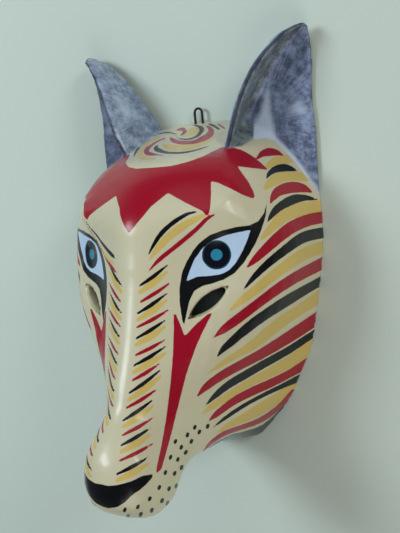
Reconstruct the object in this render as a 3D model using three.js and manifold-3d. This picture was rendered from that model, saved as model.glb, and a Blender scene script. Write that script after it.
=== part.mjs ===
// A carved wooden animal-head mask, painted, lying on its back rim with the face up.
// Units are millimetres. +X is the right of someone who faces the mask, +Y runs from the chin
// to the ears, and +Z rises from the rim, which lies in the plane z = 0.
// The carving is measured from the foot of the hanging loop, at the top of the rim (y = 0).
import * as THREE from "three";
import { ParametricGeometry } from "three/addons/geometries/ParametricGeometry.js";
import * as BufferGeometryUtils from "three/addons/utils/BufferGeometryUtils.js";
import Module from "manifold-3d";

const wasm = await Module();
wasm.setup();

// Driving sizes
const headHalfWidth = 99; // half the width of the head at the temples
const headLength = 263; // along the rim, from the loop's foot to the chin
const headDepth = 174; // from the rim to the nose
const headWall = 9; // wood left between the face and the hollow
const earHeight = 62; // from the loop's foot to an ear's tip
const earDepth = 48; // from the rim to an ear's front edge
const earWall = 5; // thickness of an ear
const slitLength = 33; // of each vision slit, seen from the front
const slitWidth = 9.5;
const wireThickness = 2; // of the hanging loop
const loopWidth = 8.8; // outside of the bent wire
const loopHeight = 11; // from the rim to the top of the bend
const loopDepth = 6; // of the holes that its ends sit in
const loopFit = 0.3; // clearance round the wire

// The curves below are drawn for a head of this size, and follow the sizes above
const drawn = { halfWidth: 99, length: 263, depth: 174, earHeight: 62, earDepth: 48 };
const wide = headHalfWidth / drawn.halfWidth;
const long = headLength / drawn.length;
const deep = headDepth / drawn.depth;
const earTall = earHeight / drawn.earHeight;
const earDeep = earDepth / drawn.earDepth;

// Side walls along y: half width at the rim, and inward lean with height
const sideAtRim = [
  [-60, 100],
  [-95, 98.8],
  [-124, 94.8],
  [-154, 88.9],
  [-182, 82.8],
  [-208, 70.5],
  [-221, 64.5],
  [-232, 57],
  [-242, 48.8],
  [-260, 33.5],
];
const sideLean = [
  [-50, 0.2],
  [-63, 0.24],
  [-80, 0.08],
  [-100, 0.03],
  [-122, 0.06],
  [-139, 0.12],
  [-157, 0.21],
  [-174, 0.3],
  [-190, 0.35],
  [-214, 0.3],
  [-240, 0.2],
];
// Centre line of the snout along y, from the forehead to the nose
const ridgeLine = [
  [0, 98],
  [-45, 107],
  [-74, 112.5],
  [-91, 115],
  [-120, 121.5],
  [-145, 128.8],
  [-163.5, 135.5],
  [-181, 143.5],
  [-196.5, 152.5],
  [-211.5, 158],
  [-228, 162],
  [-250, 164],
];
// Broad face beside the snout: its height on the centre line, and its fall to each side
const faceLine = [
  [0, 96],
  [-49, 106.5],
  [-63, 110],
  [-80, 109],
  [-93, 110],
  [-111, 113],
  [-133, 118.5],
  [-147, 121.5],
  [-165, 127],
  [-200, 139],
  [-250, 148],
];
const faceFall = [
  [-45, 0.26],
  [-64, 0.3],
  [-84, 0.44],
  [-150, 0.45],
  [-200, 0.6],
];
const faceRounding = 14;
// Sides of the snout: fall to each side, and roundness of the ridge
const snoutFall = [
  [-85, 0.9],
  [-110, 1.05],
  [-147, 1.2],
  [-181, 1.45],
  [-203, 1.25],
  [-220, 1.25],
];
const ridgeRounding = [
  [-85, 26],
  [-110, 22],
  [-147, 20],
  [-178, 21],
  [-200, 34],
  [-220, 32],
];
// Underside between the rim and the chin, over z: how far it draws in from the rim's end
const throatLine = [
  [0, 0],
  [20, 4.5],
  [45, 6],
  [75, 4],
  [100, 1],
  [130, -5],
];
// Crown and temples, as planes that lean back
const crownLean = 0.387;
const crownBow = 0.0023; // how much the crown curves round from side to side
const templeTurn = THREE.MathUtils.degToRad(33.8);
const templeReach = 47.5;
const templeLean = 0.15;
// Muzzle, an egg at the end of the snout: its middle, its size, how square it is, and its tilt
const muzzle = { y: -239, z: 138, halfLength: 34, halfWidth: 31, halfDepth: 35, fullness: 2.3 };
const muzzleTilt = THREE.MathUtils.degToRad(14);
// Slanted face between the nose and the chin: its direction in the centre plane, and its reach
const lipTurn = THREE.MathUtils.degToRad(32);
const lipReach = 309;
const lipRounding = 6;
// Shallow hollow that each eye lies in
const eyeHollow = { x: 56, y: -92, reach: 20, depth: 2.5 };
// Roundness where the big forms meet
const crownRounding = 40;
const crownTo = -45; // where the crown's rounding gives way to the shoulder's, along y
const shoulderFrom = -100;
const templeRounding = 12;
const shoulderRounding = 26;
const jawRounding = 30;
const jawRimRounding = 6; // at the rim, where the jaw has a corner
const jawRimHeight = 60; // where that corner has grown fully round
const keelRounding = 12; // along the middle of the throat
const snoutBlend = 7;
const muzzleBlend = 15;
// Share of a height above each surface that is the distance from it
const faceShare = 0.9;
const snoutShare = 0.7;

// An ear is a scoop: a plate at the back, in the rim's plane, and a wall that stands on its inner side
// Foot of the wall at the back, and how far it leans out with height, along y
const earBack = [
  [-40, 15],
  [-5, 30],
  [5, 35.7],
  [18, 44.7],
  [30, 54],
  [43, 65.5],
  [54.6, 79.5],
  [62, 95],
];
const earLean = [
  [-10, 0.45],
  [3, 0.39],
  [14, 0.335],
  [22, 0.31],
  [33, 0.255],
  [49, 0.215],
  [62, 0.2],
];
const earFront = [
  [-60, 40],
  [-21, 46],
  [-7, 48],
  [3.4, 47.3],
  [13.7, 45.8],
  [22.4, 44.4],
  [33, 40],
  [48.8, 31.2],
  [57, 24],
  [62, 11],
];
const earLift = [
  [20, 0],
  [36, 1],
  [48, 3.5],
  [62, 8],
];
const earSide = [
  [-70, 98.2],
  [-40, 98.4],
  [-14, 98.6],
  [3, 97.3],
  [22, 97.5],
  [48, 99.2],
  [62, 98.8],
];
const earFoot = -74; // where the back plate runs out along the temple
const earEdge = 0.03; // breadth of the rounded edge, across an ear
const bendStart = 0.4; // where the crease begins and ends, across an ear
const bendEnd = 0.7;
const bendLimit = 0.8; // longest share of a side that the crease may take
const earRowBunching = 1.5; // how much closer the cross sections lie towards the tip
// Share of the ear's thickness that is left towards the tip, along y
const earThinning = [
  [44, 1],
  [56, 0.7],
  [62, 0.3],
];
// Roundness between the plate and the wall, along y
const earCrease = [
  [20, 12],
  [43, 8],
  [56, 4],
  [62, 1],
];
// Vision slits: their middle, and how they rise towards the sides
const slitPlace = { x: 50.8, y: -125.6 };
const slitTurn = THREE.MathUtils.degToRad(37);
const slitSplay = THREE.MathUtils.degToRad(22); // how far each cut points outwards, at right angles to the face
const slitReach = 40; // how far the cut runs to each side of the face

// Lines inside the wood that the rays of each surface start from: two ends along y, and their heights
const headCore = { crown: -70, chin: -236, crownHeight: 60, chinHeight: 132 };
const hollowCore = { crown: -75, chin: -228, crownHeight: 50, chinHeight: 95 };
const coreShare = 0.55; // share of the rows over which the rays' starts climb from the rim to that line
const levelShare = 0.25; // share of the rows before the rays begin to tilt upwards
const farthestRay = 300;

// Fineness of the faceted surfaces
const headSteps = 68;
const headRows = 34;
const hollowSteps = 36;
const hollowRows = 16;
const earSteps = 13;
const earRows = 15;
const wireSides = 8;
const wireSteps = 22;
const wireArcPoints = 9;
const slitSteps = 8;
const raySteps = 60; // first strides along a ray, and then the halvings of the last one
const rayHalvings = 24;

const scaled = (points, place, value) => points.map(([p, v]) => [p * place, v * value]);

// A smooth value through [place, value] pairs, level beyond their ends
function through(points) {
  const sorted = [...points].sort((a, b) => a[0] - b[0]);
  const slopes = sorted.map((_, i) => {
    const before = sorted[Math.max(0, i - 1)];
    const after = sorted[Math.min(sorted.length - 1, i + 1)];
    return (after[1] - before[1]) / (after[0] - before[0]);
  });
  return (place) => {
    if (place <= sorted[0][0]) return sorted[0][1];
    if (place >= sorted.at(-1)[0]) return sorted.at(-1)[1];
    let i = 0;
    while (place > sorted[i + 1][0]) i++;
    const span = sorted[i + 1][0] - sorted[i][0];
    const t = (place - sorted[i][0]) / span;
    const rise = t * t * (3 - 2 * t);
    return (
      sorted[i][1] * (1 - rise) +
      sorted[i + 1][1] * rise +
      span * t * (1 - t) * (slopes[i] * (1 - t) - slopes[i + 1] * t)
    );
  };
}

const at = {
  side: through(scaled(sideAtRim, long, wide)),
  sideLean: through(scaled(sideLean, long, wide / deep)),
  ridge: through(scaled(ridgeLine, long, deep)),
  face: through(scaled(faceLine, long, deep)),
  faceFall: through(scaled(faceFall, long, deep / wide)),
  snoutFall: through(scaled(snoutFall, long, deep / wide)),
  ridgeRounding: through(scaled(ridgeRounding, long, wide)),
  throat: through(scaled(throatLine, deep, long)),
  earBack: through(scaled(earBack, earTall, wide)),
  earLean: through(scaled(earLean, earTall, 1)),
  earFront: through(scaled(earFront, earTall, earDeep)),
  earLift: through(scaled(earLift, earTall, earDeep)),
  earSide: through(scaled(earSide, earTall, wide)),
  earCrease: through(scaled(earCrease, earTall, 1)),
  earThickness: through(scaled(earThinning, earTall, earWall)),
};

// Larger of two distances, with the corner between them rounded off
function roundMax(a, b, r) {
  return Math.min(-r, Math.max(a, b)) + Math.hypot(Math.max(a + r, 0), Math.max(b + r, 0));
}

const roundMin = (a, b, r) => -roundMax(-a, -b, r);
const ridgeFall = (x, fall, rounding) => fall * (Math.hypot(x, rounding) - rounding);

// Distance outside the head without its muzzle; inset makes every side smaller by that much
function bodyDistance(x, y, z, inset) {
  const side = Math.abs(x);
  const crown = (y + crownLean * z + (crownBow * x * x) / wide ** 2) / Math.hypot(1, crownLean);
  const temple =
    side * Math.cos(templeTurn) + y * Math.sin(templeTurn) + templeLean * z - templeReach * wide;
  const wall = Math.hypot(x, keelRounding) - at.side(y) + at.sideLean(y) * z;
  const throat = at.throat(z) - headLength - y;
  const eye = Math.hypot(side - eyeHollow.x * wide, y - eyeHollow.y * long) / eyeHollow.reach;
  const face =
    at.face(y) - ridgeFall(x, at.faceFall(y), faceRounding) - eyeHollow.depth * Math.exp(-eye * eye);
  const snout = at.ridge(y) - ridgeFall(x, at.snoutFall(y), at.ridgeRounding(y));
  const top = roundMin(faceShare * (z - face), snoutShare * (z - snout), snoutBlend);
  let body = roundMax(crown + inset, temple + inset, templeRounding);
  body = roundMax(body, wall + inset, templeRounding);
  const jaw = THREE.MathUtils.smoothstep(z, 0, jawRimHeight * deep);
  body = roundMax(body, throat + inset, THREE.MathUtils.lerp(jawRimRounding, jawRounding, jaw));
  const rounding = THREE.MathUtils.smoothstep(y, shoulderFrom * long, crownTo * long);
  return roundMax(
    body,
    top + inset,
    THREE.MathUtils.lerp(shoulderRounding, crownRounding, rounding),
  );
}

function headDistance(x, y, z) {
  const dy = y - muzzle.y * long;
  const dz = z - muzzle.z * deep;
  const ahead = dz * Math.sin(muzzleTilt) - dy * Math.cos(muzzleTilt);
  const up = dy * Math.sin(muzzleTilt) + dz * Math.cos(muzzleTilt);
  const shares = [
    x / (muzzle.halfWidth * wide),
    ahead / (muzzle.halfLength * long),
    up / (muzzle.halfDepth * deep),
  ];
  const powers = shares.reduce((sum, share) => sum + Math.abs(share) ** muzzle.fullness, 0);
  const egg = powers ** (1 / muzzle.fullness);
  const lip = (z * Math.sin(lipTurn)) / deep - (y * Math.cos(lipTurn)) / long - lipReach;
  const snoutEnd = roundMax((egg - 1) * muzzle.halfWidth * wide, lip, lipRounding);
  return roundMin(bodyDistance(x, y, z, 0), snoutEnd, muzzleBlend);
}

// Distance from start to the surface along a direction, by halving
function reach(distance, start, direction, farthest) {
  const point = new THREE.Vector3();
  const outside = (t) => {
    point.copy(direction).multiplyScalar(t).add(start);
    return distance(point.x, point.y, point.z) > 0;
  };
  const step = farthest / raySteps;
  let far = step;
  while (far < farthest && !outside(far)) far += step;
  let near = far - step;
  for (let i = 0; i < rayHalvings; i++) {
    const middle = (near + far) / 2;
    if (outside(middle)) far = middle;
    else near = middle;
  }
  return (near + far) / 2;
}

// Turns the diagonals of the squares on the +X half, so that both halves are faceted alike
function mirrorDiagonals(geometry, steps) {
  const index = geometry.index;
  for (let i = 0; i < index.count; i += 6) {
    if ((i / 6) % steps < steps / 2) continue;
    const [a, b, d, c] = [0, 1, 2, 4].map((k) => index.getX(i + k));
    [a, b, c, a, c, d].forEach((corner, k) => index.setX(i + k, corner));
  }
}

// A closed body round the centre plane: rays fan out from a line inside it, first level, then upwards
function roundBody(distance, core, bottom, steps, rows) {
  const start = new THREE.Vector3();
  const ray = new THREE.Vector3();
  const geometry = new ParametricGeometry(
    (u, v, point) => {
      const share = 1 - Math.abs(1 - 2 * u); // 0 at the crown, 1 at the chin
      const turn = Math.PI * (0.5 - share);
      const row = Math.round(v * rows);
      const rise = THREE.MathUtils.clamp((row - 1) / (rows - 1), 0, 1);
      const height = THREE.MathUtils.lerp(core.crownHeight, core.chinHeight, share) * deep;
      const lift = THREE.MathUtils.lerp(bottom, height, Math.min(1, rise / coreShare));
      const climb = (Math.PI / 2) * Math.max(0, (rise - levelShare) / (1 - levelShare));
      start.set(0, THREE.MathUtils.lerp(core.crown, core.chin, share) * long, lift);
      if (row === 0) {
        point.copy(start);
        return;
      }
      ray.set(Math.cos(turn) * Math.cos(climb), Math.sin(turn) * Math.cos(climb), Math.sin(climb));
      point.copy(ray).multiplyScalar(reach(distance, start, ray, farthestRay * long)).add(start);
      if (u < 0.5) point.x *= -1;
      if (row === rows || share === 0 || share === 1) point.x = 0;
    },
    steps,
    rows,
  );
  mirrorDiagonals(geometry, steps);
  return geometry;
}

// One long face of an ear at a height y: from the side edge, round the crease, to the front edge.
// depth is how far the face lies inside the ear's back.
function earFace(y, depth, across) {
  const slant = (at.earBack(y + 1) - at.earBack(y - 1)) / 2;
  const low = at.earLift(y) + depth;
  const foot = at.earBack(y) + depth * Math.hypot(1, slant);
  const rise = at.earFront(y) - at.earLift(y);
  const corner = new THREE.Vector3(foot + at.earLean(y) * depth, y, low);
  const sideEnd = new THREE.Vector3(at.earSide(y), y, low);
  const frontEnd = new THREE.Vector3(foot + at.earLean(y) * rise, y, at.earFront(y));
  const turn = at.earCrease(y) + earWall - depth;
  const bendFrom = corner.clone().lerp(sideEnd, Math.min(bendLimit, turn / corner.distanceTo(sideEnd)));
  const bendTo = corner.clone().lerp(frontEnd, Math.min(bendLimit, turn / corner.distanceTo(frontEnd)));
  if (across < bendStart) return sideEnd.lerp(bendFrom, across / bendStart);
  if (across > bendEnd) return bendTo.lerp(frontEnd, (across - bendEnd) / (1 - bendEnd));
  const bend = new THREE.QuadraticBezierCurve3(bendFrom, corner, bendTo);
  return bend.getPoint((across - bendStart) / (bendEnd - bendStart));
}

// One ear as a closed sheet; side is 1 for the ear at +X and -1 for its mirror
function ear(side) {
  const tip = new THREE.Vector3(at.earSide(earHeight), earHeight, at.earLift(earHeight) + earWall / 2);
  return new ParametricGeometry(
    (u, v, point) => {
      const step = Math.round((side > 0 ? u : 1 - u) * 2 * earSteps);
      const place = step <= earSteps ? step : 2 * earSteps - step;
      const across = place / earSteps;
      const row = Math.round(v * (earRows + 2));
      const share = THREE.MathUtils.clamp((row - 1) / (earRows + 1), 0, 1);
      const y = THREE.MathUtils.lerp(earFoot * long, earHeight, 1 - (1 - share) ** earRowBunching);
      const thickness = at.earThickness(y);
      if (row === earRows + 2) {
        point.copy(tip);
      } else if (row === 0) {
        point.copy(earFace(y, thickness / 2, across));
      } else if (place === 0) {
        point.copy(earFace(y, thickness / 2, 0));
        point.x += thickness / 4;
      } else if (place === earSteps) {
        point.copy(earFace(y, thickness / 2, 1));
        point.z += thickness / 4;
      } else {
        const inset = THREE.MathUtils.lerp(earEdge, 1 - earEdge, (place - 1) / (earSteps - 2));
        point.copy(earFace(y, step > earSteps ? thickness : 0, inset));
      }
      point.x *= side;
    },
    2 * earSteps,
    earRows + 2,
  );
}

// Leaf-shaped cutter that passes through the cheek under an eye
function slit(side) {
  const x = slitPlace.x * wide;
  const y = slitPlace.y * long;
  const height = at.face(y) - ridgeFall(x, at.faceFall(y), faceRounding);
  const leaf = new THREE.Shape();
  leaf.moveTo(-slitLength / 2, 0);
  leaf.quadraticCurveTo(0, -slitWidth, slitLength / 2, 0);
  leaf.quadraticCurveTo(0, slitWidth, -slitLength / 2, 0);
  const cutter = new THREE.ExtrudeGeometry(leaf, {
    depth: 2 * slitReach,
    bevelEnabled: false,
    curveSegments: slitSteps,
  });
  cutter.translate(0, 0, -slitReach);
  cutter.rotateZ(side * slitTurn);
  cutter.scale(1 / Math.cos(slitSplay), 1, 1); // keeps the outline that is seen from the front
  cutter.rotateY(side * slitSplay);
  cutter.translate(side * x, y, height);
  return cutter;
}

// Bent wire whose two ends sit in the crown; grown makes it thicker and lets its ends go deeper
function loopWire(grown) {
  const half = (loopWidth - wireThickness) / 2;
  const z = headWall / 2;
  const foot = -loopDepth - grown;
  const bend = loopHeight - wireThickness / 2 - half;
  const route = new THREE.CurvePath();
  route.add(new THREE.LineCurve3(new THREE.Vector3(-half, foot, z), new THREE.Vector3(-half, bend, z)));
  const arc = Array.from({ length: wireArcPoints }, (_, i) => {
    const angle = Math.PI * (1 - i / (wireArcPoints - 1));
    return new THREE.Vector3(half * Math.cos(angle), bend + half * Math.sin(angle), z);
  });
  route.add(new THREE.CatmullRomCurve3(arc));
  route.add(new THREE.LineCurve3(new THREE.Vector3(half, bend, z), new THREE.Vector3(half, foot, z)));
  const section = new THREE.Shape();
  section.absarc(0, 0, wireThickness / 2 + grown, 0, 2 * Math.PI);
  return new THREE.ExtrudeGeometry(section, {
    steps: wireSteps,
    curveSegments: wireSides / 2,
    extrudePath: route,
    bevelEnabled: false,
  });
}

// Closed geometry as a solid that can be joined and cut
function solid(geometry) {
  geometry.deleteAttribute("normal");
  geometry.deleteAttribute("uv");
  const merged = BufferGeometryUtils.mergeVertices(geometry, 1e-3);
  return new wasm.Manifold(
    new wasm.Mesh({
      numProp: 3,
      vertProperties: new Float32Array(merged.attributes.position.array),
      triVerts: new Uint32Array(merged.index.array),
    }),
  );
}

// A finished solid as a named mesh
function piece(name, made, material) {
  const { numProp, vertProperties, triVerts } = made.getMesh();
  const geometry = new THREE.BufferGeometry();
  geometry.setAttribute("position", new THREE.BufferAttribute(vertProperties, numProp));
  geometry.setIndex(new THREE.BufferAttribute(triVerts, 1));
  geometry.computeVertexNormals();
  const mesh = new THREE.Mesh(geometry, material);
  mesh.name = name;
  return mesh;
}

function carvedMask() {
  const insideWall = (x, y, z) => bodyDistance(x, y, z, headWall);
  const head = roundBody(headDistance, headCore, 0, headSteps, headRows);
  const hollow = roundBody(insideWall, hollowCore, -headWall, hollowSteps, hollowRows);
  return solid(head)
    .add(solid(ear(1)))
    .add(solid(ear(-1)))
    .subtract(solid(hollow))
    .subtract(solid(slit(1)))
    .subtract(solid(slit(-1)))
    .subtract(solid(loopWire(loopFit)));
}

const paintedWood = new THREE.MeshStandardMaterial({ color: 0xbeb89e, roughness: 0.25, metalness: 0 });
const iron = new THREE.MeshStandardMaterial({ color: 0x3a2f28, roughness: 0.55, metalness: 0.8 });

const mask = new THREE.Group();
mask.add(piece("carved_mask", carvedMask(), paintedWood));
mask.add(piece("hanging_loop", solid(loopWire(0)), iron));
// the origin is below the middle of the mask's length
const box = new THREE.Box3().setFromObject(mask);
mask.position.y = -(box.min.y + box.max.y) / 2;

export default mask;
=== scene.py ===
import math

import bpy
import numpy as np
from mathutils import Matrix, Vector


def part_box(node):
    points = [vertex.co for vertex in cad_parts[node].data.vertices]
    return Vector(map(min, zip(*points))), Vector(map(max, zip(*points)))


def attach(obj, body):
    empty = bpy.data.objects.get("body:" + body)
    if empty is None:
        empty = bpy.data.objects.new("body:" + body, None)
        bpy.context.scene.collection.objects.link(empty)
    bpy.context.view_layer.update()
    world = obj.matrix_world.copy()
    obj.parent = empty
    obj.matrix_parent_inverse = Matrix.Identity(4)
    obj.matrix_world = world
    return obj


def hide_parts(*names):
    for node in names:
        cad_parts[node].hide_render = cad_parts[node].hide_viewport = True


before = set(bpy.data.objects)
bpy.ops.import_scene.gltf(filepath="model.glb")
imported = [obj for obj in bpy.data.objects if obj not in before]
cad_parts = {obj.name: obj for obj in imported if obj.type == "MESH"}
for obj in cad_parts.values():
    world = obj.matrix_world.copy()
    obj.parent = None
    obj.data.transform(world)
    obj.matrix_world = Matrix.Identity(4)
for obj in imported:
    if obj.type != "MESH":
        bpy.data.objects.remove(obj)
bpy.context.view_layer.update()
millimetre = 0.001

# the carving is measured from the hanging loop's foot, along y; the ears' tips are 62 mm above it
earTip = 62
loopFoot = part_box("carved_mask")[1].y - earTip * millimetre

# Camera, as it stood when the picture was taken

camera = {
    "picture": (400, 533),
    "eye": (332.2, -14.3, 561.4),  # mm, from the hanging loop's foot
    "yaw": 31.7,
    "pitch": 9.0,
    "roll": 5.3,
    "focal": 800,  # picture units
    "sensor": 36,
    "clip": (0.01, 20),
}


def cameraAxes():
    yaw, pitch, roll = (math.radians(camera[turn]) for turn in ("yaw", "pitch", "roll"))
    back = Vector((math.sin(yaw) * math.cos(pitch), math.sin(pitch), math.cos(yaw) * math.cos(pitch)))
    level = Vector((0, 1, 0)).cross(back).normalized()
    upright = back.cross(level)
    right = math.cos(roll) * level - math.sin(roll) * upright
    up = math.sin(roll) * level + math.cos(roll) * upright
    return right, up, back


def cameraEye():
    x, y, z = (value * millimetre for value in camera["eye"])
    return Vector((x, y + loopFoot, z))


def inPicture(points):
    # where points in metres fall in the picture, in picture units from its top left corner
    right, up, back = (np.array(axis) for axis in cameraAxes())
    offsets = points - np.array(cameraEye())
    depths = -offsets @ back
    wide, high = camera["picture"]
    across = wide / 2 + camera["focal"] * (offsets @ right) / depths
    down = high / 2 - camera["focal"] * (offsets @ up) / depths
    return np.stack([across, down], axis=1)


def makeCamera():
    data = bpy.data.cameras.new("camera")
    data.sensor_width = camera["sensor"]
    data.lens = camera["focal"] * camera["sensor"] / max(camera["picture"])
    data.clip_start, data.clip_end = camera["clip"]
    holder = bpy.data.objects.new("camera", data)
    right, up, back = cameraAxes()
    turn = Matrix((right, up, back)).transposed().to_4x4()
    holder.matrix_world = Matrix.Translation(cameraEye()) @ turn
    bpy.context.scene.collection.objects.link(holder)
    bpy.context.scene.camera = holder
    print("camera set")


# Carved wood: the solid's own form, without its facets

carving = {
    "grain": 1.6,  # mm between neighbouring points
    "faceSmoothing": 60,  # passes over the face
    "edgeSmoothing": 5,  # of which these go over everything
    "shrink": 0.5,
    "swell": -0.52,
    "crispEars": (1, 6),  # mm inside the head where smoothing begins, and over which it grows
    "crispSlits": (0.6, 4),  # smoothing at a slit's edge, and mm over which it grows
    "crispRim": (2, 8, 0.5),  # mm above the rim where it grows, over how many, and its least
    "hollowSmoothing": 0.1,  # least inside the hollow
    "rootSmoothing": 60,  # passes that soften the corner between each ear and the head
    "rootReach": 7,  # mm on both sides of that corner
    "rootPlace": (2, 4, 6),  # mm: where it begins in the scoop, over which it grows, and least height
    "ridgeSmoothing": 45,  # passes that flatten the top of the snout
    "ridge": (10, -100, -222),  # mm: half its breadth, and its ends along y
    "ridgeFade": (4, 8),  # mm: how it fades out, across and along
    "core": ((0, -70, 60), (0, -236, 125)),  # line inside the wood, crown to chin
}


def remeshed(node):
    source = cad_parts[node]
    piece = bpy.data.objects.new("painted_mask", source.data.copy())
    bpy.context.scene.collection.objects.link(piece)
    remesh = piece.modifiers.new("remesh", "REMESH")
    remesh.mode = "VOXEL"
    remesh.voxel_size = carving["grain"] * millimetre
    shape = piece.evaluated_get(bpy.context.evaluated_depsgraph_get())
    piece.data = bpy.data.meshes.new_from_object(shape)
    piece.modifiers.clear()
    return piece


def pointsOf(mesh):
    points = np.empty(len(mesh.vertices) * 3)
    mesh.vertices.foreach_get("co", points)
    return points.reshape(-1, 3)


def normalsOf(mesh):
    normals = np.empty(len(mesh.vertices) * 3)
    mesh.vertices.foreach_get("normal", normals)
    return normals.reshape(-1, 3)


def neighbourMeans(mesh):
    edges = np.empty(len(mesh.edges) * 2, dtype=np.int64)
    mesh.edges.foreach_get("vertices", edges)
    starts, ends = edges.reshape(-1, 2).T
    count = len(mesh.vertices)
    degree = np.bincount(starts, minlength=count) + np.bincount(ends, minlength=count)

    def means(values):
        total = np.zeros_like(values)
        for axis in range(values.shape[1]):
            total[:, axis] = np.bincount(starts, values[ends, axis], count)
            total[:, axis] += np.bincount(ends, values[starts, axis], count)
        return total / degree[:, None]

    return means


def smoothed(piece, strength):
    # alternates shrinking and swelling passes, so that facets go and the form stays
    mesh = piece.data
    points = pointsOf(mesh)
    means = neighbourMeans(mesh)
    onRim = points[:, 2] < 0.3 * carving["grain"] * millimetre
    for step in range(carving["faceSmoothing"]):
        share = strength if step >= carving["edgeSmoothing"] else np.ones_like(strength)
        for factor in (carving["shrink"], carving["swell"]):
            moved = points + (factor * share)[:, None] * (means(points) - points)
            moved[onRim, 2] = points[onRim, 2]
            points = moved
    points[onRim, 2] = 0
    for share, steps in ((earRootShare(points), "rootSmoothing"), (ridgeShare(points), "ridgeSmoothing")):
        for step in range(carving[steps]):
            points += carving["shrink"] * share[:, None] * (means(points) - points)
    mesh.vertices.foreach_set("co", points.ravel())
    mesh.update()


# Distances in picture units, below zero inside a shape

paintReach = 8  # farthest distance that is worked out


def smoothLine(points, steps=5):
    # a curve through points; columns beyond the first two, such as widths, go along
    rows = np.array(points, dtype=float)
    padded = np.vstack([2 * rows[0] - rows[1], rows, 2 * rows[-1] - rows[-2]])
    line = []
    for a, b, c, d in zip(padded, padded[1:], padded[2:], padded[3:]):
        for t in np.arange(steps) / steps:
            curve = 2 * b + (c - a) * t
            curve += (2 * a - 5 * b + 4 * c - d) * t**2
            curve += (3 * b - a - 3 * c + d) * t**3
            line.append(curve / 2)
    line.append(rows[-1])
    return np.array(line)


def nearby(places, line):
    low = line[:, :2].min(0) - paintReach
    high = line[:, :2].max(0) + paintReach
    return np.flatnonzero(((places > low) & (places < high)).all(1))


def strokeDistance(places, stroke):
    # stroke is a list of (across, down, width) along the middle of a brush stroke
    line = smoothLine(stroke)
    distance = np.full(len(places), float(paintReach))
    found = nearby(places, line)
    near = places[found]
    best = distance[found]
    for start, end in zip(line, line[1:]):
        along = end[:2] - start[:2]
        share = np.clip((near - start[:2]) @ along / max(along @ along, 1e-9), 0, 1)
        width = start[2] + share * (end[2] - start[2])
        gap = np.linalg.norm(near - start[:2] - share[:, None] * along, axis=1)
        best = np.minimum(best, gap - np.maximum(width, 0) / 2)
    distance[found] = best
    return distance


def patchDistance(places, outline):
    # outline is a closed list of (across, down) corners
    corners = np.array(outline, dtype=float)
    distance = np.full(len(places), float(paintReach))
    found = nearby(places, corners)
    near = places[found]
    best = distance[found]
    inside = np.zeros(len(near), dtype=bool)
    for start, end in zip(corners, np.roll(corners, -1, axis=0)):
        along = end - start
        share = np.clip((near - start) @ along / max(along @ along, 1e-9), 0, 1)
        best = np.minimum(best, np.linalg.norm(near - start - share[:, None] * along, axis=1))
        crosses = (start[1] > near[:, 1]) != (end[1] > near[:, 1])
        rise = end[1] - start[1] if end[1] != start[1] else 1e-9
        crossing = start[0] + (near[:, 1] - start[1]) / rise * along[0]
        inside ^= crosses & (near[:, 0] < crossing)
    distance[found] = np.where(inside, -best, best)
    return distance


def nearest(distances):
    return np.minimum.reduce(list(distances))


# Paint, in the order in which it lies

forehead = {
    "redBand": [
        (100, 158), (124.8, 163.2), (134.7, 166.8), (149.7, 167.8), (169.6, 166.2), (186.1, 162.3),
        (202.7, 156.5), (216, 149.9), (224.3, 146.1), (232.6, 147.4), (241.7, 149.9), (250.8, 154.9),
        (258.3, 160.7), (264.1, 165.7), (268.2, 169.8), (255.8, 168.5), (245.8, 167.3), (237.2, 166.3),
        (243.3, 174.8), (249.2, 183.1), (253.3, 191.4), (255, 197.2), (252.5, 198.5), (242.5, 194.7),
        (229.3, 188), (217.6, 182.7), (211, 181.1), (211, 196.3), (210.2, 207.9), (208.5, 214.6),
        (206, 215.4), (202.7, 211.3), (186.1, 203), (167.9, 193), (151.3, 206.3), (134.7, 226.2),
        (129.3, 233.2), (126.4, 229.5), (119.8, 216.2), (114.8, 204.6), (111.5, 196.3), (95, 205),
    ],
    # on the left half the last notch is narrower
    "leftFill": [(204, 176), (222, 181), (232, 190), (222, 200), (214, 212), (207, 216), (203, 205)],
}

rightBrow = {
    "black": [
        (148.2, 255.2, 0.8), (153, 246, 3.2), (161.3, 233.6, 4.6), (172.9, 222.9, 4.4),
        (186.1, 214.6, 3.6), (197.7, 211.3, 1),
    ],
    "ochre": [
        (150, 259, 2), (158, 248.5, 6.5), (169, 236.5, 8), (184, 225.5, 8), (200, 217, 5),
        (206, 214.5, 2),
    ],
    "red": [
        (148.4, 271.5, 1), (159.6, 259.4, 4.2), (176.2, 246.1, 4.6), (196.1, 229.5, 4.4),
        (206, 219.6, 3.8), (215.2, 214, 1.5),
    ],
}

# The left brow was painted by another stroke of the hand: straighter, and closer to the eye
leftBrow = {
    "black": [
        (220, 212, 1.2), (209, 219, 2), (200, 226.5, 2.4), (191.5, 234, 3.2), (182, 241.5, 4.2),
        (168.7, 249.5, 5), (157.6, 255, 4.4), (151.5, 258, 1),
    ],
    "ochre": [(198, 237, 0.8), (189, 244.5, 2), (179, 251.5, 3.4), (168, 258, 4.2), (156, 263.5, 3)],
    "red": [
        (222, 214.6, 1.4), (210.5, 222.5, 1.7), (203, 230.5, 1.7), (195.5, 238.5, 1.8), (187, 247, 2),
        (179, 255.5, 2.2), (172.5, 260.5, 3.2), (160.5, 267.5, 4.8), (150.5, 273, 1.6),
    ],
}

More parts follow.
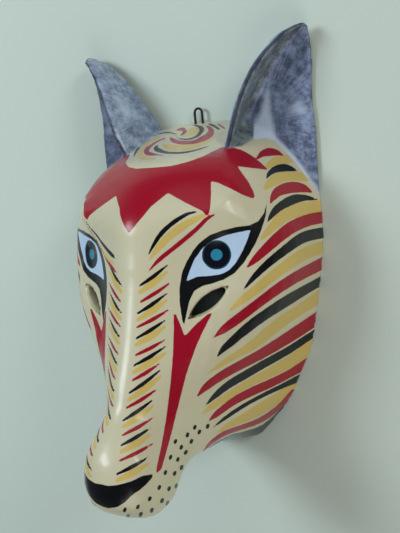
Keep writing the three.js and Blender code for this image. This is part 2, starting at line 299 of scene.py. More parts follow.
# Rungs down the side of the snout, each as its inner and outer end
ladder = {
    "black": [
        ((139.7, 285.9), (167.3, 265.2)), ((138, 313.3), (167.1, 293.3)), ((136.4, 338.3), (164.8, 320.5)),
        ((133.9, 365.7), (165.4, 346.6)), ((128.9, 393.4), (160.8, 369.8)), ((123.4, 420.4), (153, 399.7)),
        ((121.5, 445.3), (150.5, 427.9)), ((116.8, 474.3), (148.8, 456.9)),
    ],
    "red": [
        ((139.7, 302.5), (170.4, 282.6)), ((137.2, 327.3), (168.5, 309.8)), ((135.6, 355.2), (164.6, 340)),
        ((132.2, 380.6), (158.8, 364)), ((126.4, 408), (156.3, 389.7)), ((122.3, 435.3), (152.6, 418.2)),
        ((119.5, 461), (153, 443.6)),
    ],
    "ochreBelowBlack": 6.4,  # how far down an ochre rung lies from its black one
    "width": 4,
    "ochreWidth": 7,
    "taper": (0.55, 0.35),  # widths of its inner and outer end, as shares
    "sag": (0.3, 0.6),  # how far the middle of a rung lies off the line between its ends
}

redFork = [
    (173.7, 313), (173.7, 330), (172.9, 354.9), (170.4, 384.7), (166.2, 417.9), (161.3, 446.1),
    (156.6, 467.6), (156.4, 473.4), (161.3, 469.3), (166.2, 452.7), (172.9, 427.8), (179.5, 401.3),
    (186.1, 374.8), (196.1, 346.6), (203.5, 330), (212.7, 312.4), (207.7, 314.1), (196.1, 324),
    (184.8, 336.3), (179.5, 322.4), (175.8, 314),
]

rightEye = {
    "liner": [
        (267.4, 199.7), (264.1, 212.9), (258.3, 221.2), (249.2, 225.4), (235.9, 227), (222.6, 230.3),
        (209.4, 235.3), (199.4, 242.8), (192.8, 251.1), (186.1, 262.7), (182, 272.6), (179.5, 287.5),
        (179.5, 300.8), (181.2, 314.1), (183.6, 327.3), (186.1, 315.7), (189.5, 300.8), (194.4, 290.9),
        (202.7, 285.9), (212.7, 283.4), (224.3, 279.3), (234.2, 273.5), (242.5, 264.3), (249.2, 254.4),
        (255.8, 242.8), (261.6, 229.5), (265.7, 216.2),
    ],
    "white": [
        (186.1, 281.7), (189.5, 271), (194.4, 259.4), (202.7, 247.7), (212.7, 240.3), (225.9, 235.3),
        (239.2, 232), (250.5, 230), (247.5, 239.5), (242.5, 251.1), (235.9, 262.7), (229.3, 270.1),
        (221, 274.3), (209.4, 275.9), (196.1, 276.8), (189.5, 280.1),
    ],
    "middle": (216.6, 254.8),
    "iris": 13.2,
    "irisRim": 1.5,
    "pupil": 5.9,
}

leftEye = {
    "liner": [
        (267.4, 199.7), (264.1, 211.5), (258.3, 218.5), (249.2, 222.5), (235.9, 225), (222.6, 227.5),
        (208.5, 232), (196, 239), (186.5, 249.5), (179.5, 262), (176, 275), (174.5, 288.5),
        (174.8, 302), (177, 315), (180.5, 326), (184.5, 315.7), (189, 300.8), (195, 291),
        (203.5, 286), (213.5, 282.5), (226, 278.3), (236.5, 271.5), (245, 263), (250.5, 253),
        (256.5, 242), (261.6, 229.5), (265.7, 216.2),
    ],
    "white": [
        (183, 281), (186, 270.5), (190.5, 257.5), (198.5, 244.5), (210, 236.5), (225.9, 231.8),
        (239.2, 228.3), (248.5, 226.3), (246.5, 236), (242.5, 249.5), (237, 260.5), (229.5, 268),
        (220.5, 272.5), (207, 275), (193.5, 278), (186.5, 280.6),
    ],
    "middle": (217, 253.6),
    "iris": 14.2,
    "irisRim": 1.5,
    "pupil": 5.9,
}

slit = {  # mm, and degrees
    "middle": (50.8, -125.6),
    "height": 99.6,
    "length": 33,
    "width": 9.5,
    "turn": 37,
    "splay": 22,
    "shading": 2,
}

# Stripes that sweep from the cheek to the rim, each from its front tip
cheek = {
    "red": [
        [(257.5, 158, 2.5), (263, 153.5, 6.5), (270, 152, 8), (277, 152.8, 5.5), (283.6, 155.6, 0.5)],
        [
            (270.5, 203, 1.5), (273.5, 197, 6.5), (279, 191, 10), (290, 187.6, 11.5), (302, 188, 9),
            (312.5, 192.4, 0.8),
        ],
        [
            (246, 268.5, 0.5), (254, 260.5, 6.5), (265.7, 249.2, 9.7), (279, 237, 11.4),
            (292.3, 227, 12.2), (308.9, 220, 12), (327, 216.5, 11.8),
        ],
        [
            (213, 338, 0.5), (225, 328.5, 8), (239, 318, 9.5), (260, 302, 9.5), (279, 288, 10.5),
            (299, 275.5, 11), (327, 261, 12),
        ],
        [
            (197, 396.5, 1), (206, 387, 7), (221, 376, 8.5), (239, 365.8, 9), (259, 355.2, 10),
            (279, 343.3, 11), (299, 330.5, 12), (320, 316.5, 12),
        ],
        [
            (208.5, 421.5, 0.5), (216, 414.5, 5.5), (232.6, 402, 7.5), (249, 393, 8.5), (269, 384, 8.5),
            (289, 374, 8), (309, 362.5, 10),
        ],
        [
            (202.7, 451.5, 1), (212, 442, 4), (225, 433.3, 5), (242.5, 427, 5), (261, 419.8, 5.5),
            (279, 407, 5), (293, 391, 4),
        ],
    ],
    "black": [
        [
            (266.6, 178.5, 0.8), (269.5, 173.5, 4.5), (276, 169.2, 7), (286, 167.8, 7.4),
            (297.5, 170.8, 0.8),
        ],
        [
            (267, 222.5, 0.5), (272, 214.8, 5.5), (279, 207.4, 8), (292, 200, 9.5), (304, 197.8, 6.5),
            (318, 199.7, 0.8),
        ],
        [
            (243, 290.5, 0.5), (252, 279.5, 5), (265.7, 265.6, 7.5), (289, 247, 9.5), (305, 236.8, 11),
            (327, 232, 11),
        ],
        [
            (217, 357, 0.5), (222, 350.5, 5), (229, 344, 7.5), (245, 330, 9.5), (262, 317, 10),
            (289, 299.5, 10.5), (312, 286, 9), (327, 278, 9.5),
        ],
        [
            (205, 406, 0.5), (216, 395, 5.5), (229, 384.5, 7.5), (247.5, 373.5, 8), (265.7, 363, 8),
            (285.6, 352, 7.5), (302, 341.5, 7), (317, 331.5, 6.5),
        ],
        [
            (213, 427.5, 0.5), (226, 417.5, 3.5), (242.5, 406.5, 4), (262.4, 395.5, 4), (284, 385.3, 5),
            (303, 376.5, 7.5),
        ],
        [
            (198, 460, 2), (212, 447.5, 4), (229, 438, 5), (246, 434, 6), (262, 429.5, 8),
            (276, 419.5, 9), (289, 403, 5),
        ],
    ],
    "ochre": [
        [(265, 168, 3), (275, 161.8, 9), (290, 158.8, 9)],
        [(266, 187.5, 5), (275, 180, 11), (288, 175.8, 10.5), (307, 177.5, 8)],
        [(262, 238, 4), (275.7, 224, 10), (290, 212, 14.5), (327, 205.5, 11.5)],
        [
            (229, 311.5, 1), (238, 303.5, 6), (252.5, 292.3, 9), (270.7, 277.5, 10), (289, 263.8, 11.5),
            (307, 252.6, 12.5), (327, 246, 12.5),
        ],
        [
            (208, 373.5, 1), (222, 364, 5), (234, 356.5, 6.5), (256, 342.6, 10), (279, 323.5, 11.5),
            (299, 310.3, 10.5), (321, 295.5, 12),
        ],
        [
            (202, 414, 1), (212, 406.5, 6), (226, 397.5, 7.5), (246, 384.8, 7.5), (269, 373, 9.5),
            (292, 360.4, 12), (314, 346, 15),
        ],
        [
            (217, 432.5, 1), (231, 424, 6), (246, 417, 9), (262.4, 407.5, 11), (279, 397.6, 10.5),
            (299, 385, 10),
        ],
        [(225, 449, 2), (243, 443, 5), (262, 438, 6), (282, 424, 6)],
    ],
}

nose = [
    (80, 466), (88, 476), (94, 481.5), (104, 485), (110, 486), (120, 484.6), (132, 481), (142, 476),
    (153.5, 473.8), (152.1, 478), (146.3, 484.2), (139.7, 490), (131.4, 495.8), (124.8, 502.5),
    (116.5, 507.4), (108.2, 508.3), (98.2, 504.1), (88, 494.2), (80, 480.9),
]

whiskers = {
    "places": [
        (194.8, 427.3), (187.5, 434.8), (199.4, 432), (207.7, 426.2), (191.4, 441.4), (175.4, 441.4),
        (181.2, 447.2), (185.8, 452.4), (170.4, 457.4), (177.8, 459.4), (181.5, 467.6), (165.4, 472.6),
        (174.7, 473.4), (159.3, 487.5), (169.1, 488.7), (176.2, 485.9), (149.7, 498.8), (162.1, 500.8),
        (167.6, 503.3), (137.9, 506.8), (151.8, 510.3), (124.8, 509.8), (140.7, 514.6), (127.8, 516.9),
    ],
    "stroke": (0.4, 1.0, 3.4),  # half its lean and half its length, and its width
}

# Swirl on the crown, which the left half does not repeat
crownSwirl = {
    "black": [
        [
            (192, 125.3, 0.6), (198, 126, 2), (201.8, 129, 4.6), (199.5, 134, 3), (193.5, 137.8, 2),
            (187, 139.3, 1.8), (179.5, 138.5, 1.5), (175.5, 136, 0.8),
        ],
        [
            (209.8, 145.7, 0.6), (202.7, 148, 1.2), (193.8, 150.6, 1.7), (184.8, 152.4, 1.9),
            (175.9, 152.9, 2), (166, 152.4, 2.6), (159.5, 150.5, 4.2), (155.8, 148.6, 4.4),
            (157.3, 146, 2),
        ],
        [
            (134, 156, 1.4), (135.7, 152, 2), (141, 145.3, 1.8), (148.2, 138.6, 1.6), (155.4, 135, 1.4),
            (164.3, 132.8, 1.4), (171.4, 132.8, 1.4), (176.8, 134.6, 1),
        ],
        [(207, 123.4, 0.6), (213, 125.5, 2.6), (219, 129, 2)],
    ],
    "red": [
        [
            (205, 125.2, 0.6), (210.2, 128.6, 4), (211, 132.5, 6), (207, 136.5, 6), (200, 139.8, 5),
            (193.5, 142, 3.8), (185, 142.6, 3.8), (178, 142, 4), (172.5, 140, 4.2), (170.5, 138, 2),
        ],
        [
            (165, 155.5, 0.6), (157, 154.7, 1.6), (150, 153.8, 3.6), (146.4, 152.2, 5),
            (147, 149.4, 4.4), (150.5, 146.2, 2.6), (157, 141.5, 1.6), (165, 138.3, 1.2),
        ],
        [(176.8, 130.1, 1), (182, 129.2, 3.4), (185, 130.8, 3.8), (183, 133.7, 2.4), (180.4, 135.4, 0.8)],
        [(216, 123.4, 0.6), (221, 126, 2), (225, 128.5, 1.4)],
    ],
    "ochre": [
        [
            (214.5, 132, 0.8), (211.5, 138.4, 3.4), (204, 142.6, 4), (195, 146, 5), (185, 147.7, 5.6),
            (175, 148, 6.4), (167, 146.8, 6), (163, 145, 2),
        ],
        [
            (156, 158.4, 0.8), (148, 158.6, 3.4), (141.5, 156.8, 5.4), (140.5, 152.5, 5.4),
            (144.5, 146.4, 4), (151, 140.8, 3), (159, 136.8, 2.2),
        ],
        [(182, 136, 1.6), (188, 133.6, 7), (194, 131.2, 8), (197.6, 130, 5)],
    ],
}

# Marks inside the scoop of an ear: dark painted lines, painted highlights, and the root line
earMarks = {
    "frontLine": [
        (305.4, 21.4, 1.2), (291.5, 25.6, 1.6), (277.7, 34.2, 2), (263.8, 48, 2), (250, 70.6, 2.2),
        (243, 84.4, 2.4), (238.4, 97, 2.8), (234, 112, 3), (231.3, 126, 3), (229.9, 141, 2.6),
    ],
    "sideLine": [
        (307.5, 23.8, 1), (309.7, 38, 1.2), (312.5, 62, 1.2), (314.4, 88, 1.4), (316.6, 112, 1.4),
        (320, 135, 1.4), (322.3, 158, 1.4), (323, 177, 1.4), (323.5, 199, 1.4),
    ],
    # painted highlights: a pale patch up the crease of the scoop, a pale edge along the crease below it,
    # and a pale spot on the plate
    "paintedHighlight": [(268, 90, 1), (267, 100, 5), (266, 110, 9), (265, 120, 15), (263, 131, 24), (261, 139, 30)],
    "creaseHighlight": [(272, 138, 5), (283.5, 149, 5), (299, 166.5, 4.5), (313, 185.5, 3.6), (322, 200, 2)],
    "light": [(297, 108, 9), (303, 110, 7)],
    # painted highlight on the back of the left ear's wall
    "crownHighlight": [(118, 98, 6), (122, 106, 10), (126, 116, 8)],  # on the left ear only
    # cream reaches up to this line, and the ear begins beyond it
    "root": [
        (222, 150), (242.3, 146.6), (251, 140.6), (264.8, 138.4), (273.5, 140.6), (283.8, 151),
        (299.4, 168.3), (313.3, 187.3), (321, 199.4), (327, 208), (360, 208), (360, 0), (222, 0),
    ],
}


def rungs(ends, width, drop=0):
    strokes = []
    inner, outer = (width * share for share in ladder["taper"])
    sagX, sagY = ladder["sag"]
    for (innerX, innerY), (outerX, outerY) in ends:
        strokes.append([
            (innerX, innerY + drop, inner),
            ((innerX + outerX) / 2 + sagX, (innerY + outerY) / 2 + sagY + drop, width),
            (outerX, outerY + drop, outer),
        ])
    return strokes


def eyeDistances(places, eye):
    fromPupil = np.linalg.norm(places - np.array(eye["middle"]), axis=1)
    return (
        patchDistance(places, eye["white"]),
        patchDistance(places, eye["liner"]),
        fromPupil,
        np.full(len(places), eye["iris"]),
        np.full(len(places), eye["irisRim"]),
        np.full(len(places), eye["pupil"]),
    )


def layerDistances(places, truePlaces):
    black, red = ladder["black"], ladder["red"]
    ochreRungs = rungs(black, ladder["ochreWidth"], ladder["ochreBelowBlack"])
    right = truePlaces[:, 0] == places[:, 0]
    eyes = zip(eyeDistances(places, rightEye), eyeDistances(places, leftEye))
    white, liner, fromPupil, iris, rim, pupil = (np.where(right, *values) for values in eyes)
    lean, tall, wide = whiskers["stroke"]
    dots = [
        strokeDistance(places, [(x + lean, y - tall, wide), (x - lean, y + tall, wide)])
        for x, y in whiskers["places"]
    ]
    brow = {
        paintColour: np.where(
            right,
            strokeDistance(places, rightBrow[paintColour]),
            strokeDistance(places, leftBrow[paintColour]),
        )
        for paintColour in ("black", "ochre", "red")
    }
    blackStrokes = [*rungs(black, ladder["width"]), *cheek["black"]]
    redStrokes = [*rungs(red, ladder["width"]), *cheek["red"]]
    ochreStrokes = [*ochreRungs, *cheek["ochre"]]
    nosePatch = patchDistance(places, nose)
    return {
        "ochre": nearest(
            [strokeDistance(places, stroke) for stroke in ochreStrokes]
            + [strokeDistance(truePlaces, stroke) for stroke in crownSwirl["ochre"]]
            + [brow["ochre"]]
        ),
        "red": nearest(
            [strokeDistance(places, stroke) for stroke in redStrokes]
            + [strokeDistance(truePlaces, stroke) for stroke in crownSwirl["red"]]
            + [patchDistance(places, forehead["redBand"]), patchDistance(places, redFork), brow["red"]]
            + [np.where(right, paintReach, patchDistance(places, forehead["leftFill"]))]
        ),
        "black": nearest(
            [strokeDistance(places, stroke) for stroke in blackStrokes]
            + [strokeDistance(truePlaces, stroke) for stroke in crownSwirl["black"]]
            + [liner, nosePatch, brow["black"], *dots]
        ),
        "white": white,
        "teal": fromPupil - iris - rim,
        "iris": fromPupil - iris,
        "pupil": fromPupil - pupil,
    }


def slitDistance(points):
    # mm from the edge of the nearer vision slit, as seen along its cut
    turn, splay = math.radians(slit["turn"]), math.radians(slit["splay"])
    x = np.abs(points[:, 0]) / millimetre - slit["middle"][0]
    y = (points[:, 1] - loopFoot) / millimetre - slit["middle"][1]
    z = points[:, 2] / millimetre - slit["height"]
    x = (x * math.cos(splay) - z * math.sin(splay)) * math.cos(splay)
    along = x * math.cos(turn) + y * math.sin(turn)
    across = y * math.cos(turn) - x * math.sin(turn)
    half = slit["width"] / 2 * (1 - (2 * along / slit["length"]) ** 2)
    return np.abs(across) - half


def coreDirection(points):
    # from the line inside the wood to each point
    crown, chin = (np.array(end, dtype=float) * millimetre for end in carving["core"])
    crown[1] += loopFoot
    chin[1] += loopFoot
    share = np.clip((points[:, 1] - crown[1]) / (chin[1] - crown[1]), 0, 1)
    core = crown + share[:, None] * (chin - crown)
    core[:, 2] = np.minimum(core[:, 2], points[:, 2])
    away = points - core
    return away / np.linalg.norm(away, axis=1)[:, None]


head = {
    "crownLean": 0.387,
    "crownBow": 0.0023,
    "templeTurn": 33.8,
    "templeReach": 47.5,
    "templeLean": 0.15,
}


def earDistance(points):
    # mm beyond the crown and the temples, where the ears stand
    x = np.abs(points[:, 0]) / millimetre
    y = (points[:, 1] - loopFoot) / millimetre
    z = points[:, 2] / millimetre
    turn = math.radians(head["templeTurn"])
    crown = (y + head["crownLean"] * z + head["crownBow"] * x**2) / math.hypot(1, head["crownLean"])
    temple = x * math.cos(turn) + y * math.sin(turn) + head["templeLean"] * z - head["templeReach"]
    return np.maximum(crown, temple)


# The wall of an ear at heights along y, in mm: its foot at the back, and how far it leans out
earWall = {
    "along": (-40, -5, 5, 18, 30, 43, 54.6, 62),
    "foot": (18, 33, 39, 48, 57, 69, 83, 96),
    "lean": (0.45, 0.43, 0.38, 0.32, 0.27, 0.23, 0.21, 0.2),
}


def scoopDistance(points):
    # mm inside the scoop of an ear, from the middle of its wall; less than 0 on the crown's side
    y = (points[:, 1] - loopFoot) / millimetre
    foot = np.interp(y, earWall["along"], earWall["foot"])
    lean = np.interp(y, earWall["along"], earWall["lean"])
    return (np.abs(points[:, 0]) - lean * points[:, 2]) / millimetre - foot


def earRootShare(points):
    start, reach, height = carving["rootPlace"]
    near = np.clip(1 - np.abs(earDistance(points)) / carving["rootReach"], 0, 1)
    inScoop = np.clip((scoopDistance(points) - start) / reach, 0, 1)
    return near * inScoop * (points[:, 2] > height * millimetre)


def ridgeShare(points):
    half, top, end = carving["ridge"]
    acrossFade, alongFade = carving["ridgeFade"]
    x = np.abs(points[:, 0]) / millimetre
    y = (points[:, 1] - loopFoot) / millimetre
    along = np.clip((top - y) / alongFade, 0, 1) * np.clip((y - end) / alongFade, 0, 1)
    return np.clip((half - x) / acrossFade, 0, 1) * along


def addAttribute(mesh, name, values):
    attribute = mesh.attributes.new(name, "FLOAT", "POINT")
    attribute.data.foreach_set("value", np.asarray(values, dtype=np.float32))


def addVectors(mesh, name, vectors):
    attribute = mesh.attributes.new(name, "FLOAT_VECTOR", "POINT")
    attribute.data.foreach_set("vector", np.asarray(vectors, dtype=np.float32).ravel())


# Where the paint of the ears and the bare wood go, in mm
earPaint = {
    "rootDepth": (-14, 6),  # the ear's paint may run onto the head between these
    "rootScale": -0.8,  # picture units of the root line to mm, inside counted up
    "rootReach": 4,
    "freeRim": (20, 46),  # the rim is dark above this height, or beyond this along y
    "fanMiddle": (52, -6, 4),  # the brush marks fan out from here
    "fanFrom": (12, 25),  # they begin this far from it, and grow over this
}

bareWood = {
    "earEdge": -2,  # no bare wood on the ears, which begin here
    "facing": -0.5,  # how far a side must face back or inwards to be bare
    "rimHeight": 0.8,
    "rimFacing": -0.6,
}


def paintAttributes(piece):
    mesh = piece.data
    points = pointsOf(mesh)
    normals = normalsOf(mesh)
    folded = points.copy()
    folded[:, 0] = np.abs(folded[:, 0])
    places = inPicture(folded)
    for name, values in layerDistances(places, inPicture(points)).items():
        addAttribute(mesh, name, values)
    scoop = scoopDistance(points)
    ear = earDistance(points)
    # inside the scoop the ear's paint runs down onto the head, as far as the root line
    rootReach = earPaint["rootReach"]
    rootPatch = patchDistance(places, earMarks["root"]) * earPaint["rootScale"]
    deepest, highest = earPaint["rootDepth"]
    reachable = (scoop > 0) & (ear > deepest) & (ear < highest)
    addAttribute(mesh, "ear", np.where(reachable, np.clip(rootPatch, -rootReach, rootReach), ear))
    addAttribute(mesh, "scoop", scoop)
    # where painted shade darkens the left ear's scoop
    addAttribute(mesh, "leftScoopShade", (points[:, 0] < 0) & (scoop > 0))
    rimHeight, rimAlong = (value * millimetre for value in earPaint["freeRim"])
    free = (points[:, 2] > rimHeight) | (points[:, 1] - loopFoot > rimAlong)
    addAttribute(mesh, "earRim", np.where(free, np.abs(scoop), paintReach))
    # dark lines and painted highlights on the ears
    for mark in ("frontLine", "sideLine", "paintedHighlight", "creaseHighlight", "light"):
        addAttribute(mesh, mark, strokeDistance(places, earMarks[mark]))
    addAttribute(mesh, "crownHighlight", strokeDistance(inPicture(points), earMarks["crownHighlight"]))
    fan = folded / millimetre - np.array(earPaint["fanMiddle"]) - (0, loopFoot / millimetre, 0)
    reach = np.linalg.norm(fan, axis=1)
    fanStart, fanGrowth = earPaint["fanFrom"]
    addVectors(mesh, "fan", fan / reach[:, None])
    addAttribute(mesh, "fanShare", np.clip((reach - fanStart) / fanGrowth, 0, 1))
    inward = (normals * coreDirection(points)).sum(1)
    addAttribute(mesh, "slit", slitDistance(points))
    # painted shade: the side of each slit that is nearer to the snout is darkened
    outward = normals[:, 0] * np.sign(points[:, 0])
    addAttribute(mesh, "slitShade", np.clip(outward * slit["shading"] + 0.5, 0, 1))
    facing = bareWood["facing"]
    onEar = (ear > bareWood["earEdge"]) & (normals[:, 2] > facing) & (inward > facing)
    low = points[:, 2] < bareWood["rimHeight"] * millimetre
    rim = low & (normals[:, 2] < bareWood["rimFacing"])
    addAttribute(mesh, "hollow", np.where(rim, -1, np.where(onEar, 1, inward)))
    print("paint laid out on", len(points), "points")


# Materials

def colour(red, green, blue):
    # from 0 to 255 as a screen shows it, to the even scale that the shader takes
    shares = [value / 255 for value in (red, green, blue)]
    linear = [((share + 0.055) / 1.055) ** 2.4 if share > 0.04 else share / 12.92 for share in shares]
    return (*linear, 1)


paint = {
    "cream": (216, 208, 177),
    "creamShade": (204, 196, 162),
    "ochre": (213, 185, 104),
    "red": (162, 2, 34),
    "black": (4, 4, 7),
    "white": (190, 214, 238),
    "teal": (10, 66, 74),
    "iris": (2, 2, 22),
    "pupil": (44, 134, 164),
    "wallDark": (74, 82, 90),
    "wallLight": (150, 162, 162),
    "plateDark": (78, 88, 114),
    "plateLight": (156, 172, 206),
    "crownDark": (104, 118, 146),
    "crownLight": (172, 190, 212),
    "rim": (40, 40, 60),
    "earLine": (22, 22, 38),
    # pale colour of the painted highlights on the ears
    "paintedHighlight": (214, 228, 246),
    "wood": (150, 118, 80),
    "woodDark": (98, 72, 46),
    "slitLight": (206, 202, 164),
    # painted shade on the slit walls nearer the snout
    "slitPaintedShade": (70, 50, 38),
    # colour of the painted shade over the left ear's scoop
    "leftScoopShade": (60, 64, 92),
    "wobble": 0.8,  # picture units that a stroke's edge wanders
    "wobbleScale": 260,
    "softness": 0.3,
    "creamScale": 22,
    "strokes": 0.5,  # share of the broad brush marks on the ears, and then of the fine ones
    "hairs": 0.5,
    "strokeScale": 26,
    "hairScale": 90,
    "cloudScale": 110,
    # how much of the left ear's scoop colour the painted shade replaces
    "leftScoopShadeShare": 0.45,
    "roughness": (0.3, 0.4),
    "woodRoughness": 0.75,
    "earRoughness": 0.38,
    "specular": 0.12,
    "coat": 0.7,
    "coatIor": 1.4,
    "coatRoughness": 0.22,
    "carveHeight": 0.5,
    "brushHeight": 0.12,
    "grainHeight": 0.6,
    "bump": 0.35,
}


# Each mark on an ear: its colour and strength, and in picture units how far inside its edge it
# begins to fade, how far outside it is gone, and how far that edge frays
earFades = {
    # the first three marks and the last are painted highlights in the pale colour; the two lines are dark
    # paint
    "light": ("paintedHighlight", 0.5, -3.0, 5.0, 5.0),
    "paintedHighlight": ("paintedHighlight", 1.0, -4.5, 3.5, 5.0),
    "creaseHighlight": ("paintedHighlight", 0.9, -1.8, 2.6, 3.0),
    "frontLine": ("earLine", 0.95, -0.9, 1.0, 1.6),
    "sideLine": ("earLine", 0.8, -0.7, 0.8, 1.0),
    "crownHighlight": ("paintedHighlight", 0.55, -6.0, 4.0, 5.0),
}


def addNode(tree, kind, inputs=(), **settings):
    made = tree.nodes.new(kind)
    for name, value in settings.items():
        setattr(made, name, value)
    for name, value in dict(inputs).items():
        socket = made.inputs[name]
        if isinstance(value, bpy.types.NodeSocket):
            tree.links.new(value, socket)
        else:
            socket.default_value = value
    return made


def mixed(tree, share, first, second):
    made = addNode(tree, "ShaderNodeMix", {0: share, 6: first, 7: second}, data_type="RGBA")
    return made.outputs[2]


def maths(tree, operation, first, second):
    return addNode(tree, "ShaderNodeMath", {0: first, 1: second}, operation=operation).outputs[0]


def spread(tree, value, low, high, start=0.0, end=1.0):
    inputs = {"Value": value, "From Min": low, "From Max": high, "To Min": start, "To Max": end}
    return addNode(tree, "ShaderNodeMapRange", inputs, interpolation_type="SMOOTHSTEP").outputs[0]


def noise(tree, where, scale, detail=3.0, roughness=0.5):
    inputs = {"Vector": where, "Scale": scale, "Detail": detail, "Roughness": roughness}
    return addNode(tree, "ShaderNodeTexNoise", inputs).outputs["Fac"]


def stretched(tree, where, scale):
    return addNode(tree, "ShaderNodeMapping", {"Vector": where, "Scale": scale}).outputs[0]


def attribute(tree, name):
    return addNode(tree, "ShaderNodeAttribute", attribute_name=name).outputs["Fac"]


def newMaterial(name):
    material = bpy.data.materials.new(name)
    material.use_nodes = True
    tree = material.node_tree
    return material, tree, tree.nodes["Principled BSDF"]


def enamelPaint():
    material, tree, shader = newMaterial("enamel_paint")
    where = addNode(tree, "ShaderNodeTexCoord").outputs["Object"]
    uneven = maths(tree, "SUBTRACT", noise(tree, where, paint["wobbleScale"]), 0.5)
    wander = maths(tree, "MULTIPLY", uneven, paint["wobble"])
    soft = paint["softness"]

    def layer(under, name, paintColour):
        edge = maths(tree, "ADD", attribute(tree, name), wander)
        return mixed(tree, spread(tree, edge, -soft, soft, 1.0, 0.0), under, paintColour)

    broad = noise(tree, where, paint["creamScale"], 2)
    look = mixed(tree, broad, colour(*paint["cream"]), colour(*paint["creamShade"]))
    for name in ("ochre", "red", "black", "white", "teal", "iris", "pupil"):
        look = layer(look, name, colour(*paint[name]))

    # ears: brushed greys, greener on the wall of the scoop and bluer on its back plate
    fan = addNode(tree, "ShaderNodeAttribute", attribute_name="fan").outputs["Vector"]
    strokes = noise(tree, fan, paint["strokeScale"], 5, 0.6)
    hairs = noise(tree, fan, paint["hairScale"], 4, 0.7)
    clouds = noise(tree, where, paint["cloudScale"], 5, 0.65)
    broadMarks = maths(tree, "MULTIPLY", strokes, paint["strokes"])
    fineMarks = maths(tree, "MULTIPLY", hairs, paint["hairs"])
    fanned = maths(tree, "SUBTRACT", maths(tree, "ADD", broadMarks, fineMarks), 0.5)
    fanned = maths(tree, "MULTIPLY", fanned, attribute(tree, "fanShare"))
    brushed = spread(tree, maths(tree, "ADD", fanned, clouds), 0.3, 0.72)
    normal = addNode(tree, "ShaderNodeTexCoord").outputs["Normal"]
    facing = addNode(tree, "ShaderNodeSeparateXYZ", {0: normal})
    onPlate = spread(tree, facing.outputs[2], 0.35, 0.8)
    wall, plate, crown = (
        mixed(tree, brushed, colour(*paint[part + "Dark"]), colour(*paint[part + "Light"]))
        for part in ("wall", "plate", "crown")
    )
    grey = mixed(tree, onPlate, wall, plate)

    def mark(under, name):
        paintName, share, low, high, fray = earFades[name]
        offset = maths(tree, "MULTIPLY", maths(tree, "SUBTRACT", hairs, 0.5), fray)
        edge = maths(tree, "ADD", attribute(tree, name), offset)
        return mixed(tree, spread(tree, edge, low, high, share, 0.0), under, colour(*paint[paintName]))

    # painted highlights and dark lines on the scoop, then a painted highlight on the left ear's back
    for name in ("light", "paintedHighlight", "creaseHighlight", "frontLine", "sideLine"):
        grey = mark(grey, name)
    crown = mark(crown, "crownHighlight")
    # painted shade darkens the left ear's scoop
    inLeftScoopShade = maths(tree, "MULTIPLY", attribute(tree, "leftScoopShade"), paint["leftScoopShadeShare"])
    grey = mixed(tree, inLeftScoopShade, grey, colour(*paint["leftScoopShade"]))
    inScoop = spread(tree, attribute(tree, "scoop"), 0.4, 1.6)
    grey = mixed(tree, inScoop, crown, grey)
    onRim = spread(tree, attribute(tree, "earRim"), 1.3, 2.3, 0.85, 0.0)
    grey = mixed(tree, onRim, grey, colour(*paint["rim"]))
    onEar = spread(tree, maths(tree, "ADD", attribute(tree, "ear"), wander), -0.6, 1.6)
    look = mixed(tree, onEar, look, grey)

    # bare wood in the hollow and on the rim, and the walls of the slits, with painted shade on one side of
    # each
    grain = noise(tree, stretched(tree, where, (500, 40, 500)), 1, 4, 0.6)
    wood = mixed(tree, grain, colour(*paint["woodDark"]), colour(*paint["wood"]))
    slitShade = attribute(tree, "slitShade")
    slitWallWithShade = mixed(tree, slitShade, colour(*paint["slitLight"]), colour(*paint["slitPaintedShade"]))
    inSlit = spread(tree, maths(tree, "ADD", attribute(tree, "slit"), wander), 0.0, 1.0, 1.0, 0.0)
    inHollow = spread(tree, attribute(tree, "hollow"), -0.35, -0.1, 1.0, 0.0)
    look = mixed(tree, inHollow, look, wood)
    look = mixed(tree, inSlit, look, slitWallWithShade)
    tree.links.new(look, shader.inputs["Base Color"])

    # brushed enamel is glossy, and duller where the wood is bare
    gloss = spread(tree, noise(tree, where, 90, 3), 0.3, 0.7, *paint["roughness"])
    woodDullness = maths(tree, "MULTIPLY", inHollow, paint["woodRoughness"])
    earDullness = maths(tree, "MULTIPLY", onEar, paint["earRoughness"])
    dull = maths(tree, "MAXIMUM", gloss, woodDullness)
    tree.links.new(maths(tree, "MAXIMUM", dull, earDullness), shader.inputs["Roughness"])
    shader.inputs["Specular IOR Level"].default_value = paint["specular"]
    shader.inputs["Coat Weight"].default_value = paint["coat"]
    shader.inputs["Coat IOR"].default_value = paint["coatIor"]
    shader.inputs["Coat Roughness"].default_value = paint["coatRoughness"]
    carve = maths(tree, "MULTIPLY", noise(tree, where, 30, 2), paint["carveHeight"])
    brushMarks = noise(tree, stretched(tree, where, (300, 120, 300)), 1, 3)
    brush = maths(tree, "MULTIPLY", brushMarks, paint["brushHeight"])
    woodMarks = maths(tree, "MULTIPLY", maths(tree, "MULTIPLY", grain, inHollow), paint["grainHeight"])
    height = maths(tree, "ADD", maths(tree, "ADD", carve, brush), woodMarks)
    bumpInputs = {"Height": height, "Strength": paint["bump"], "Distance": millimetre}
    bump = addNode(tree, "ShaderNodeBump", bumpInputs)
    tree.links.new(bump.outputs[0], shader.inputs["Normal"])
    return material


iron = {
    "bare": (44, 40, 38),
    "rust": (84, 54, 38),
    "rustScale": 700,
    "metallic": 0.7,
    "roughness": (0.4, 0.75),  # bare, and rusty
    "pits": 0.0003,  # m deep
}


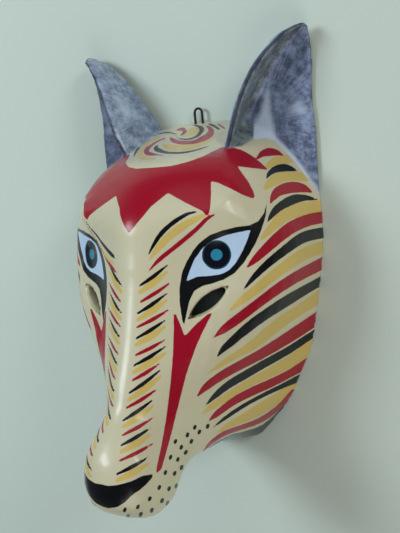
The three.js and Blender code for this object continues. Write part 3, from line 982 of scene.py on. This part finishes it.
def ironWire():
    material, tree, shader = newMaterial("iron_wire")
    where = addNode(tree, "ShaderNodeTexCoord").outputs["Object"]
    rust = spread(tree, noise(tree, where, iron["rustScale"], 5, 0.6), 0.45, 0.65)
    look = mixed(tree, rust, colour(*iron["bare"]), colour(*iron["rust"]))
    tree.links.new(look, shader.inputs["Base Color"])
    shader.inputs["Metallic"].default_value = iron["metallic"]
    tree.links.new(spread(tree, rust, 0, 1, *iron["roughness"]), shader.inputs["Roughness"])
    bump = addNode(tree, "ShaderNodeBump", {"Height": rust, "Strength": 0.4, "Distance": iron["pits"]})
    tree.links.new(bump.outputs[0], shader.inputs["Normal"])
    return material


# Pieces

def paintedMask():
    piece = remeshed("carved_mask")
    points = pointsOf(piece.data)
    ear = earDistance(points)
    inward = (normalsOf(piece.data) * coreDirection(points)).sum(1)
    start, reach = carving["crispEars"]
    strength = np.clip((-ear - start) / reach, 0, 1)
    start, reach = carving["crispSlits"]
    strength *= np.clip(slitDistance(points) / reach + start, 0, 1)
    start, reach, least = carving["crispRim"]
    strength *= np.clip((points[:, 2] / millimetre - start) / reach, least, 1)
    inHollow = np.maximum(strength, carving["hollowSmoothing"])
    smoothed(piece, np.where(inward < 0, inHollow, strength))
    piece.data.polygons.foreach_set("use_smooth", [True] * len(piece.data.polygons))
    paintAttributes(piece)
    piece.data.materials.clear()
    piece.data.materials.append(enamelPaint())
    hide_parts("carved_mask")
    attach(piece, "root")
    print("mask painted,", len(piece.data.polygons), "faces")
    return piece


def hangingLoop():
    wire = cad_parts["hanging_loop"]
    wire.data.materials.clear()
    wire.data.materials.append(ironWire())
    wire.data.polygons.foreach_set("use_smooth", [True] * len(wire.data.polygons))
    print("hanging loop finished")


# Studio

studio = {
    "floor": (205, 216, 204),
    "floorHalf": 6.0,
    "floorRoughness": 0.9,
    "target": (0, 0, 0.08),
    "world": (0.88, 0.95, 1.0, 1),
    "worldStrength": 0.14,
    # each light: where it stands, its breadth and height, its power and its tint
    "lights": {
        "window": ((-1.0, 0.62, 1.4), (0.5, 0.8), 18, (0.78, 0.9, 1.0)),
        "sideWindow": ((1.56, 0.94, 0.95), (0.5, 0.5), 10, (1.0, 1.0, 1.0)),
        "ceiling": ((0.4, 2.0, 1.6), (1.8, 1.8), 9, (1.0, 1.0, 1.0)),
        "bounce": ((1.1, -1.9, 1.5), (1.8, 1.8), 18, (1.0, 0.99, 0.96)),
    },
}


def makeFloor():
    size = studio["floorHalf"]
    mesh = bpy.data.meshes.new("floor")
    corners = [(-size, -size, 0), (size, -size, 0), (size, size, 0), (-size, size, 0)]
    mesh.from_pydata(corners, [], [(0, 1, 2, 3)])
    floor = bpy.data.objects.new("floor", mesh)
    bpy.context.scene.collection.objects.link(floor)
    material, tree, shader = newMaterial("pale_floor")
    shader.inputs["Base Color"].default_value = colour(*studio["floor"])
    shader.inputs["Roughness"].default_value = studio["floorRoughness"]
    mesh.materials.append(material)


def makeLights():
    target = Vector(studio["target"])
    for name, (place, (breadth, height), power, tint) in studio["lights"].items():
        data = bpy.data.lights.new(name, "AREA")
        data.shape = "RECTANGLE"
        data.size = breadth
        data.size_y = height
        data.energy = power
        data.color = tint
        lamp = bpy.data.objects.new(name, data)
        lamp.location = place
        lamp.rotation_euler = (target - Vector(place)).to_track_quat("-Z", "Y").to_euler()
        bpy.context.scene.collection.objects.link(lamp)
    bpy.context.scene.view_settings.view_transform = "Standard"
    world = bpy.context.scene.world or bpy.data.worlds.new("studio")
    bpy.context.scene.world = world
    world.use_nodes = True
    background = world.node_tree.nodes["Background"]
    background.inputs["Color"].default_value = studio["world"]
    background.inputs["Strength"].default_value = studio["worldStrength"]
    print("floor and lights set")


paintedMask()
hangingLoop()
makeFloor()
makeLights()
makeCamera()
